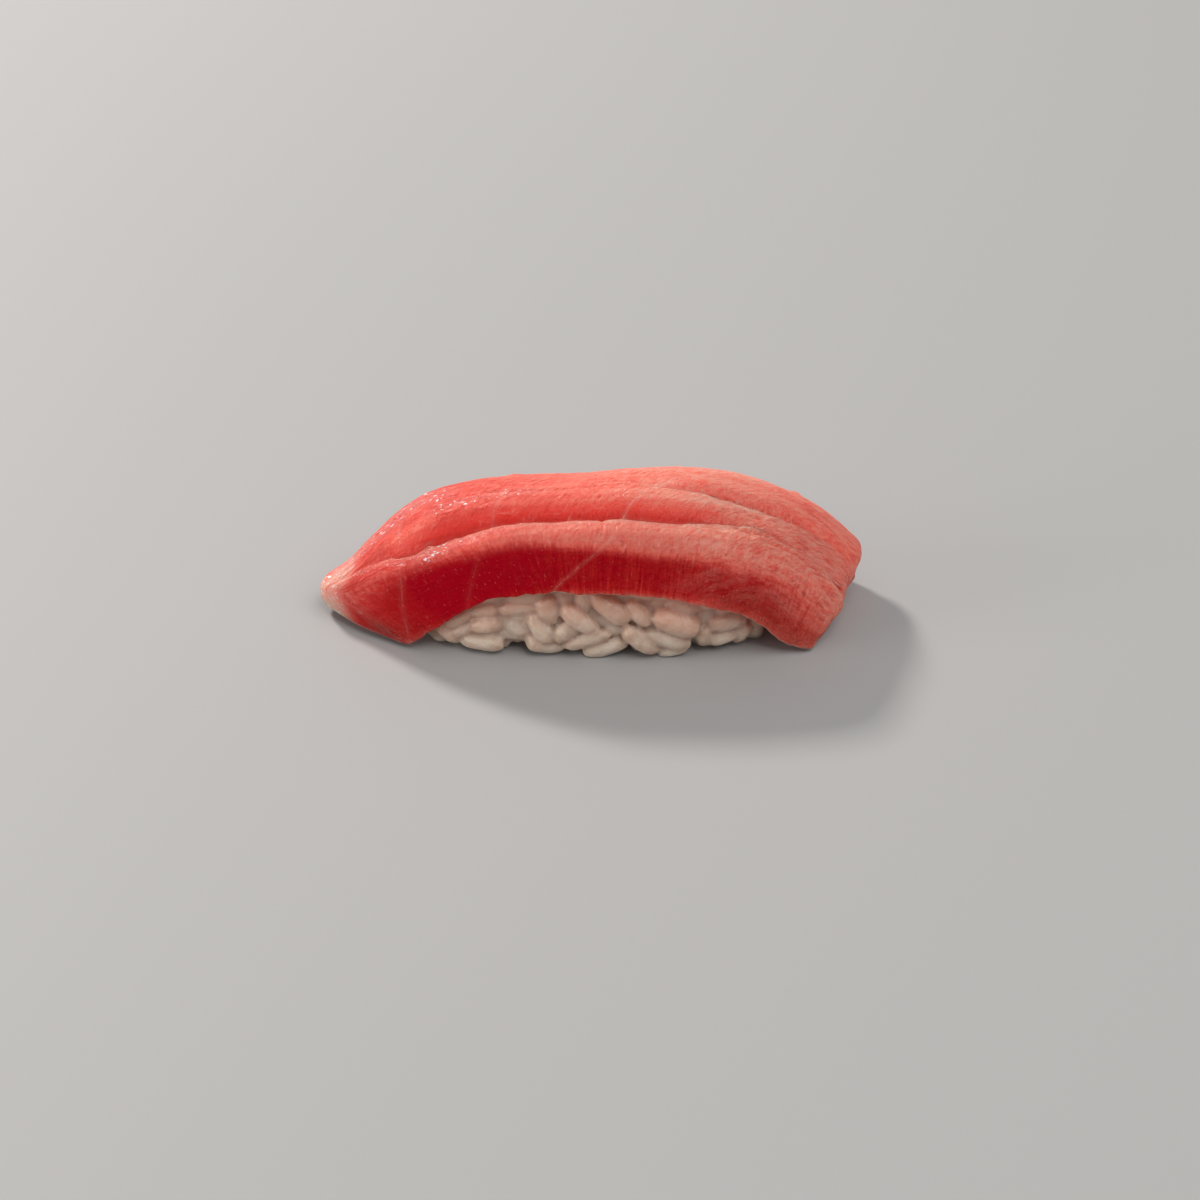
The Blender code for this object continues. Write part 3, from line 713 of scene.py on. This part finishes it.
def make_grains(rng):
    """The bed's grains over a smaller core, stuck together into one surface."""
    middles, cores, radii = pack_grains(rng)
    shapes = [grain_shape(rng) for _ in range(14)]
    grains, faces = [], []
    start = 0
    for n, (middle, core, radius) in enumerate(zip(middles, cores, radii)):
        shape, shape_faces = shapes[n % len(shapes)]
        half = np.linalg.norm(core)
        ahead = core / half
        aside = np.cross(ahead, rng.normal(size=3))
        aside /= np.linalg.norm(aside)
        axes = np.stack([ahead, aside, np.cross(ahead, aside)])
        dents = 1 + (0.13 * field(shape * (1.6, 1, 1) + n, 1.3, 11) + 0.05 * field(shape * (2.0, 1, 1) + n, 0.5, 15))[:, None]
        grains.append(middle + shape * dents * (half + radius, radius, radius) @ axes)
        faces += [[start + v for v in face] for face in shape_faces]
        start += len(shape)
    press_together(grains, middles, cores, radii)
    core, core_faces = core_shape(CORE_SHRINK)
    faces += [[start + v for v in face] for face in core_faces]
    points = np.concatenate(grains + [core])
    points[:, 2] = np.clip(points[:, 2], 0, underside(*points[:, :2].T) - 0.1 * MM)
    mesh = welded(points, faces)
    points = np.empty(len(mesh.vertices) * 3)
    mesh.vertices.foreach_get("co", points)
    points = points.reshape(-1, 3)
    tones = rng.uniform(size=len(middles))
    marks = grain_marks(points, middles, cores, radii, tones)
    points = soften(mesh, points, marks["seam"])
    ceiling = underside(*points[:, :2].T) - 0.1 * MM
    points[:, 2] = np.clip(points[:, 2], 0, ceiling)
    # Near the slice's underside the rice gets painted shade and painted red light bounced from the slice.
    marks["red_bounce_and_shade"] = smooth(points[:, 2] - ceiling, -RED_BOUNCE_DEPTH, 0)
    mesh.vertices.foreach_set("co", points.ravel())
    mesh.shade_smooth()
    for name, values in marks.items():
        mesh.attributes.new(name, "FLOAT", "POINT").data.foreach_set("value", values)
    mesh.name = "rice_grains"
    return add(mesh)


def welded(points, faces):
    """One closed mesh round everything that the given overlapping closed shapes fill."""
    mesh = bpy.data.meshes.new("loose")
    mesh.from_pydata(points.tolist(), [], faces)
    loose = add(mesh)
    weld = loose.modifiers.new("weld", "REMESH")
    weld.mode = "VOXEL"
    weld.voxel_size = WELD_SIZE
    graph = bpy.context.evaluated_depsgraph_get()
    result = bpy.data.meshes.new_from_object(loose.evaluated_get(graph))
    bpy.data.objects.remove(loose)
    bpy.data.meshes.remove(mesh)
    return result


def grain_marks(points, middles, cores, radii, tones):
    """What each place on the bed is like: its grain's tone, where along it, and how near a seam."""
    nearest = np.full(len(points), 1.0)
    second = np.full(len(points), 1.0)
    tone, place = np.zeros(len(points)), np.zeros(len(points))
    for middle, core, radius, value in zip(middles, cores, radii, tones):
        share = np.clip(((points - middle) @ core) / (core @ core), -1.3, 1.3)
        apart = np.linalg.norm(points - middle - np.clip(share, -1, 1)[:, None] * core, axis=1) - radius
        closer = apart < nearest
        second = np.where(closer, nearest, np.minimum(second, apart))
        nearest = np.where(closer, apart, nearest)
        tone = np.where(closer, value, tone)
        place = np.where(closer, share / 1.3, place)
    seam = np.exp(-(second - nearest) / SEAM_WIDTH)
    seam = np.maximum(seam, smooth(nearest, 0.1 * MM, 0.6 * MM))
    return {"tone": tone, "place": place, "seam": seam}


def soften(mesh, points, seam):
    """The points with the seams between the grains partly filled."""
    ends = np.empty(len(mesh.edges) * 2, dtype=int)
    mesh.edges.foreach_get("vertices", ends)
    a, b = ends.reshape(-1, 2).T
    count = np.bincount(ends, minlength=len(points))[:, None]
    for _ in range(SOFTEN_ROUNDS):
        around = np.zeros_like(points)
        np.add.at(around, a, points[b])
        np.add.at(around, b, points[a])
        points = points + (around / count - points) * (0.15 + 0.45 * seam[:, None])
    return points


def core_shape(shrink):
    """Points and faces of a solid of the bed's form, smaller by the given depth."""
    turns = np.arange(96) / 96
    middle = np.array(BED_CENTRE)
    rings = []
    for swell, level in [(0.72, 0.5), (0.84, 1.2)] + BED_RINGS[4:]:
        inwards = (loaf_outline(turns) - middle) * swell
        length = np.linalg.norm(inwards, axis=1, keepdims=True)
        plan = middle + inwards * (1 - shrink / length)
        height = np.minimum(level * MM, underside(*plan.T) - 1.2 * MM)
        rings.append(np.column_stack([plan, height]))
    n = len(turns)
    faces = [list(range(n))[::-1], list(range((len(rings) - 1) * n, len(rings) * n))]
    for ring in range(len(rings) - 1):
        for i in range(n):
            j = (i + 1) % n
            faces.append([ring * n + i, ring * n + j, (ring + 1) * n + j, (ring + 1) * n + i])
    return np.concatenate(rings), faces


# ---- shader values with arithmetic ----------------------------------------------------------
class Value:
    """An output of a shader node. Arithmetic on it adds Math nodes to its tree."""

    def __init__(self, tree, socket):
        self.tree = tree
        self.socket = socket

    def maths(self, operation, *others):
        node = self.tree.nodes.new("ShaderNodeMath")
        node.operation = operation
        for place, value in enumerate((self, *others)):
            feed(self.tree, node.inputs[place], value)
        return Value(self.tree, node.outputs[0])

    def __add__(self, other):
        return self.maths("ADD", other)

    def __sub__(self, other):
        return self.maths("SUBTRACT", other)

    def __mul__(self, other):
        return self.maths("MULTIPLY", other)

    def __neg__(self):
        return self.maths("MULTIPLY", -1.0)

    __radd__ = __add__
    __rmul__ = __mul__

    def __rsub__(self, other):
        return -self + other

    def size(self):
        return self.maths("ABSOLUTE")

    def power(self, exponent):
        return self.maths("POWER", exponent)

    def most(self, other):
        return self.maths("MAXIMUM", other)

    def fraction(self):
        return self.maths("FRACT")

    def rise(self, low, high):
        """0 below low, 1 above high, smooth between."""
        node = self.tree.nodes.new("ShaderNodeMapRange")
        node.interpolation_type = "SMOOTHSTEP"
        feed(self.tree, node.inputs["Value"], self)
        node.inputs["From Min"].default_value = low
        node.inputs["From Max"].default_value = high
        return Value(self.tree, node.outputs["Result"])

    def line(self, width):
        """1 where this is 0, falling to 0 at the given width either side."""
        return 1 - self.size().rise(0.0, width)


def feed(tree, socket, value):
    if isinstance(value, Value):
        tree.links.new(value.socket, socket)
    else:
        socket.default_value = value


class Paint:
    """A new material and the nodes that its pattern is made of."""

    def __init__(self, name):
        self.material = bpy.data.materials.new(name)
        self.material.use_nodes = True
        self.tree = self.material.node_tree
        self.shader = self.tree.nodes["Principled BSDF"]

    def set(self, **inputs):
        for name, value in inputs.items():
            feed(self.tree, self.shader.inputs[name.replace("_", " ")], value)

    def attribute(self, name, output="Fac"):
        node = self.tree.nodes.new("ShaderNodeAttribute")
        node.attribute_name = name
        return Value(self.tree, node.outputs[output])

    def parts(self, vector):
        node = self.tree.nodes.new("ShaderNodeSeparateXYZ")
        feed(self.tree, node.inputs[0], vector)
        return [Value(self.tree, out) for out in node.outputs]

    def vector(self, x, y, z):
        node = self.tree.nodes.new("ShaderNodeCombineXYZ")
        for socket, value in zip(node.inputs, (x, y, z)):
            feed(self.tree, socket, value)
        return Value(self.tree, node.outputs[0])

    def noise(self, vector, period, detail=2.0, roughness=0.5):
        """Noise centred on 0 with features of about the given size."""
        node = self.tree.nodes.new("ShaderNodeTexNoise")
        feed(self.tree, node.inputs["Vector"], vector)
        node.inputs["Scale"].default_value = 1 / period
        node.inputs["Detail"].default_value = detail
        node.inputs["Roughness"].default_value = roughness
        return Value(self.tree, node.outputs["Fac"]) - 0.5

    def cells(self, vector, period, feature="DISTANCE_TO_EDGE"):
        node = self.tree.nodes.new("ShaderNodeTexVoronoi")
        node.feature = feature
        feed(self.tree, node.inputs["Vector"], vector)
        node.inputs["Scale"].default_value = 1 / period
        return Value(self.tree, node.outputs["Distance"])

    def ramp(self, value, stops):
        node = self.tree.nodes.new("ShaderNodeValToRGB")
        feed(self.tree, node.inputs[0], value)
        ramp = node.color_ramp
        while len(ramp.elements) < len(stops):
            ramp.elements.new(0.5)
        for element, (place, colour) in zip(ramp.elements, stops):
            element.position = place
            element.color = (*colour, 1)
        return Value(self.tree, node.outputs["Color"])

    def mix(self, share, a, b):
        node = self.tree.nodes.new("ShaderNodeMix")
        node.data_type = "RGBA"
        feed(self.tree, node.inputs["Factor"], share)
        feed(self.tree, node.inputs[6], a)
        feed(self.tree, node.inputs[7], b)
        return Value(self.tree, node.outputs[2])

    def bump(self, height, distance, strength=1.0):
        node = self.tree.nodes.new("ShaderNodeBump")
        node.inputs["Strength"].default_value = strength
        node.inputs["Distance"].default_value = distance
        feed(self.tree, node.inputs["Height"], height)
        return Value(self.tree, node.outputs["Normal"])


# Each sinew is a sheet through the slice: its place along the slice where it crosses the
# given row, its slant across and down, the rows it lies between, and its strength.
FACE_SINEWS = [
    (6.2, -5.6, 1.1, (-8.9, 1.0), 0.9), (-13.5, -6.4, 0.45, (-8.2, 0.0), 0.5),
    (-27.0, -6.4, 0.1, (-8.0, -2.0), 0.5), (16.0, 2.0, 0.9, (-2.0, 9.0), 0.4),
]
SIDE_SINEWS = [(3.9, -1.5, 0.65), (-15.2, -1.25, 0.16), (-28.2, -1.15, 0.3), (-37.0, -0.3, 0.5)]


def sinew_pattern(paint, x, y, below, side):
    """Fine pale lines where sheets of sinew reach the scored face and the front side."""
    wander = paint.noise(paint.vector(x, y, below), 2.2, 3.0) * 1.1
    dashes = paint.noise(paint.vector(x, y, below), 0.8, 2.0).rise(-0.10, 0.12)
    total = None
    for place, row, slant, (front, back), strength in FACE_SINEWS:
        sheet = x - place - (y - row) * slant + wander
        shown = y.rise(front - 0.6, front + 0.2) * (1 - y.rise(back - 1.5, back)) * (1 - side)
        seam = (sheet.line(0.20) * dashes + sheet.line(0.9) * 0.25) * shown * strength
        total = seam if total is None else total.most(seam)
    for place, down, strength in SIDE_SINEWS:
        sheet = x - place - below * down + wander * 0.7
        shown = 1 - y.rise(-10.4, -9.4)
        seam = (sheet.line(0.20) * dashes * 0.5 + sheet.line(1.1) * 0.16) * shown * strength
        total = total.most(seam)
    return total


def marbling_pattern(paint, x, y, below):
    """Curved bands of fat that fan out towards the blunt end."""
    beyond = (x - 13.0).most(0.0)
    fan = below + beyond * 0.55 - beyond * beyond * 0.012 + y * 0.12
    fan = fan + paint.noise(paint.vector(x, y, below), 5.0, 4.0, 0.6) * 4.0
    broad = paint.noise(paint.vector(fan, x * 0.10, y * 0.10), 2.4, 2.0) * 2.4
    streaks = paint.noise(paint.vector(fan, x * 0.15, y * 0.15), 0.55, 3.0, 0.65) * 2.6
    return (broad + streaks + 0.25) * x.rise(8.0, 24.0) * (0.8 + paint.noise(paint.vector(x, y, below), 2.6, 2.0) * 2.0)


def flesh_paint():
    """Raw tuna: red where it has little fat to pink where fatty, crossed by sinews, marbled, moist and glossy, with
    painted glow, shade, sheen and glints.
    """
    paint = Paint("raw_tuna")
    flat = paint.attribute("flat", "Vector")
    x, y, below = paint.parts(flat)
    lean_with_painted_light, side, roll, tip, torn, strip, wet_with_painted_glints = (
        paint.attribute(name) for name in ("lean_with_painted_light", "side", "roll", "tip", "torn", "strip", "wet_with_painted_glints")
    )
    inner = x.rise(-31.0, -24.0)
    ahead, aside = x * 0.74 + y * 0.67, x * 0.67 - y * 0.74
    clouds = paint.noise(flat, 4.5, 3.0)
    drawn = 1 - roll.most(strip) * 0.85
    fibres = paint.noise(paint.vector(x, y * drawn, below * 0.12), 0.42, 2.5, 0.6)
    knife = paint.noise(paint.vector(x * 0.06, y, below), 0.7, 2.5, 0.6)
    strokes = paint.noise(paint.vector(aside, ahead * 0.25, below), 0.5, 2.5, 0.65)
    mottle = paint.noise(flat, 0.45, 3.0, 0.7)
    scratches = paint.noise(paint.vector(x * 0.10, y, below), 0.45, 2.0).rise(0.13, 0.22) * (1 - torn) * (1 - strip)
    flecks = paint.noise(flat, 0.32, 1.0).rise(0.19, 0.28)
    hairs = paint.noise(paint.vector(aside, ahead * 0.3, below * 0.3), 0.55, 1.0).rise(0.12, 0.26)

    face = 1 - side
    tone = lean_with_painted_light + clouds * 0.22 + fibres * (0.12 + side * 0.17 * inner * (1 - x.rise(6.0, 22.0)) + roll * 0.45 + strip * 0.3) + mottle * 0.30
    tone = tone + face * (strokes * (0.30 + x.rise(-26.0, -8.0) * 0.38 + torn * 0.25) + knife * 0.40)
    flecks = flecks.most(paint.noise(paint.vector(x, y, below * 0.4), 0.30, 1.0).rise(0.21, 0.29) * 0.6 * inner)
    sinews = sinew_pattern(paint, x, y, below, side)
    marbling = marbling_pattern(paint, x, y, below)
    flesh = paint.ramp(tone, [
        (0.0, (0.97, 0.40, 0.31)), (0.22, (0.94, 0.28, 0.205)), (0.45, (0.89, 0.150, 0.110)),
        (0.70, (0.62, 0.036, 0.032)), (0.86, (0.48, 0.010, 0.012)), (1.0, (0.43, 0.001, 0.010)),
    ])
    # Painted glow: the score walls are painted bright red for light shining through the lobe.
    wall_glow = roll + fibres * roll * (1 - roll) * 6.0
    flesh = paint.mix(wall_glow.most(0.0) * 0.75, flesh, (1.0, 0.090, 0.066, 1))
    # Painted shade: darker crimson at the foot of the wall, in the crease.
    flesh = paint.mix(roll.power(5.0) * 0.50, flesh, (0.66, 0.020, 0.022, 1))
    # Painted glow of light shining through the thin pointed tip.
    flesh = paint.mix(tip * (0.8 + mottle * 1.5), flesh, (1.0, 0.43, 0.34, 1))
    flesh = paint.mix((marbling * 0.32).most(0.0), flesh, (0.95, 0.37, 0.29, 1))
    # Painted shade: the lower front strip is darkened as it lies out of the light.
    flesh = paint.mix(strip * face * 0.38 * (1 - x.size().rise(10.0, 22.0)), flesh, (0.50, 0.14, 0.11, 1))
    # Painted shade: darker and browner low on the cut side towards the blunt end.
    flesh = paint.mix(x.rise(14.0, 28.0) * below.rise(3.0, 7.0) * side * 0.55, flesh, (0.34, 0.040, 0.028, 1))
    flesh = paint.mix(hairs * face * (0.34 - x.rise(4.0, 24.0) * 0.14), flesh, (1.0, 0.40, 0.32, 1))
    flesh = paint.mix(scratches * face * 0.22, flesh, (1.0, 0.42, 0.34, 1))
    flesh = paint.mix((sinews * 0.60).most(0.0), flesh, (0.92, 0.54, 0.45, 1))
    flesh = paint.mix(flecks * side * 0.45, flesh, (0.85, 0.30, 0.22, 1))
    # Painted sheen and glints where the flesh is wet: a pale film, then near-white specks and small pools.
    painted_glints = paint.noise(paint.vector(x * 0.7, y, below), 0.42, 1.0)
    flesh = paint.mix(wet_with_painted_glints * 0.10, flesh, (1.0, 0.52, 0.45, 1))
    painted_glint_pools = paint.noise(paint.vector(x * 0.7, y, below), 0.85, 1.0).rise(0.19, 0.22)
    flesh = paint.mix(painted_glints.rise(0.165, 0.21).most(painted_glint_pools) * wet_with_painted_glints.rise(0.1, 0.6), flesh, (1.0, 0.96, 0.94, 1))

    beads = paint.noise(flat, 1.0, 1.0)
    wrinkles = paint.noise(paint.vector(x * 0.8, y, below), 0.8, 4.0, 0.6)
    height = fibres * 0.5 + knife * 0.5 + strokes * (0.3 + x.rise(-26.0, -8.0) * 0.4 + torn * 0.8) + mottle * 0.5 + wrinkles * (0.3 + torn * 1.6)
    paint.set(
        Base_Color=flesh,
        Roughness=0.50 + wrinkles * 0.3 + side * 0.06,
        Subsurface_Weight=0.6 + tip.most(roll) * 0.4,
        Subsurface_Radius=(1.0, 0.24, 0.19),
        Subsurface_Scale=0.0056,
        Specular_IOR_Level=0.0,
        Coat_Weight=(0.26 - side * 0.20 + wet_with_painted_glints * 0.7),
        Coat_Roughness=0.16,
        Normal=paint.bump(height, 0.00065),
        Coat_Normal=paint.bump(height * 0.5 + beads * (1.5 + wet_with_painted_glints * 3.0), 0.00040),
    )
    return paint.material


def rice_paint():
    """Cooked rice: translucent off-white, warmer and darker partly by painted shade and bounce light, clearer at the
    grain's ends, with painted shade in the seams and painted red bounce and shade under the slice.
    """
    paint = Paint("cooked_rice")
    tone, place, seam, red_bounce_and_shade = (paint.attribute(name) for name in ("tone", "place", "seam", "red_bounce_and_shade"))
    geometry = paint.tree.nodes.new("ShaderNodeTexCoord")
    where = Value(paint.tree, geometry.outputs["Object"])
    mottle = paint.noise(where, 0.0013, 3.0)
    chalk = (1 - place.size().rise(0.35, 0.95)) * 0.40 + tone * 0.45 + mottle * 0.8
    # The grains are warmer and darker than plain cooked rice: partly painted shade and warm bounce light.
    colour = paint.ramp(chalk, [
        (0.0, (0.58, 0.41, 0.31)), (0.5, (0.68, 0.52, 0.41)), (1.0, (0.78, 0.65, 0.54)),
    ])
    # Painted shade: darker and warmer in the seams between grains and where the core shows between them.
    colour = paint.mix(seam * 0.42, colour, (0.56, 0.32, 0.22, 1))
    # Painted shade and painted red bounce light under the slice.
    colour = paint.mix(red_bounce_and_shade * 0.7, colour, (0.70, 0.29, 0.19, 1))
    ridges = paint.noise(where, 0.0007, 4.0, 0.6)
    paint.set(
        Base_Color=colour,
        Roughness=0.36 + mottle * 0.3,
        Subsurface_Weight=0.9,
        Subsurface_Radius=(1.0, 0.66, 0.5),
        Subsurface_Scale=0.0026,
        Coat_Weight=0.45,
        Coat_Roughness=0.28,
        Normal=paint.bump(ridges + mottle, 0.00026),
    )
    return paint.material


# ---- floor, light and camera ------------------------------------------------------------------
VIEW_HEIGHT = math.radians(33)
VIEW_DISTANCE = 0.4245
VIEW_CENTRE = (0.0012, 0.0034, 0.0)
LENS = 88.5


def make_floor():
    bpy.ops.mesh.primitive_plane_add(size=4.0, location=(0, 0, 0))
    floor = bpy.context.object
    floor.name = "floor"
    paint = Paint("floor")
    paint.set(Base_Color=(0.40, 0.395, 0.39, 1), Roughness=0.6, Specular_IOR_Level=0.2)
    floor.data.materials.append(paint.material)


def add_light(name, place, size, power, colour):
    """A square lamp at a place, facing the nigiri."""
    data = bpy.data.lights.new(name, "AREA")
    data.size = size
    data.energy = power
    data.color = colour
    lamp = bpy.data.objects.new(name, data)
    lamp.location = place
    lamp.rotation_euler = (-Vector(place)).to_track_quat("-Z", "Y").to_euler()
    bpy.context.scene.collection.objects.link(lamp)


def light_up():
    add_light("key", (-0.55, 0.72, 0.62), 0.15, 10.6, (1.0, 0.96, 0.92))
    add_light("left", (-0.95, -0.30, 0.22), 0.5, 3.9, (1.0, 0.98, 0.96))
    add_light("top", (0.45, -0.35, 1.0), 1.0, 6.3, (1.0, 0.98, 0.96))
    add_light("glint", (0.20, -0.60, 0.85), 0.12, 0.8, (1.0, 0.98, 0.96))
    world = bpy.data.worlds.new("studio")
    bpy.context.scene.world = world
    world.use_nodes = True
    world.node_tree.nodes["Background"].inputs["Color"].default_value = (0.95, 0.97, 1.0, 1)
    world.node_tree.nodes["Background"].inputs["Strength"].default_value = 0.32
    bpy.context.scene.view_settings.view_transform = "Standard"


def aim_camera():
    data = bpy.data.cameras.new("camera")
    data.sensor_width = 36
    data.lens = LENS
    camera = bpy.data.objects.new("camera", data)
    back = Vector((0, -math.cos(VIEW_HEIGHT), math.sin(VIEW_HEIGHT)))
    camera.location = Vector(VIEW_CENTRE) + back * VIEW_DISTANCE
    camera.rotation_euler = (-back).to_track_quat("-Z", "Y").to_euler()
    bpy.context.scene.collection.objects.link(camera)
    bpy.context.scene.camera = camera


def finish_piece(piece, material, node):
    piece.data.materials.append(material)
    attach(piece, "root")
    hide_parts(node)


def main():
    aim_camera()
    light_up()
    make_floor()
    rng = np.random.default_rng(7)
    finish_piece(make_slice(), flesh_paint(), "tuna")
    finish_piece(make_grains(rng), rice_paint(), "rice")


main()
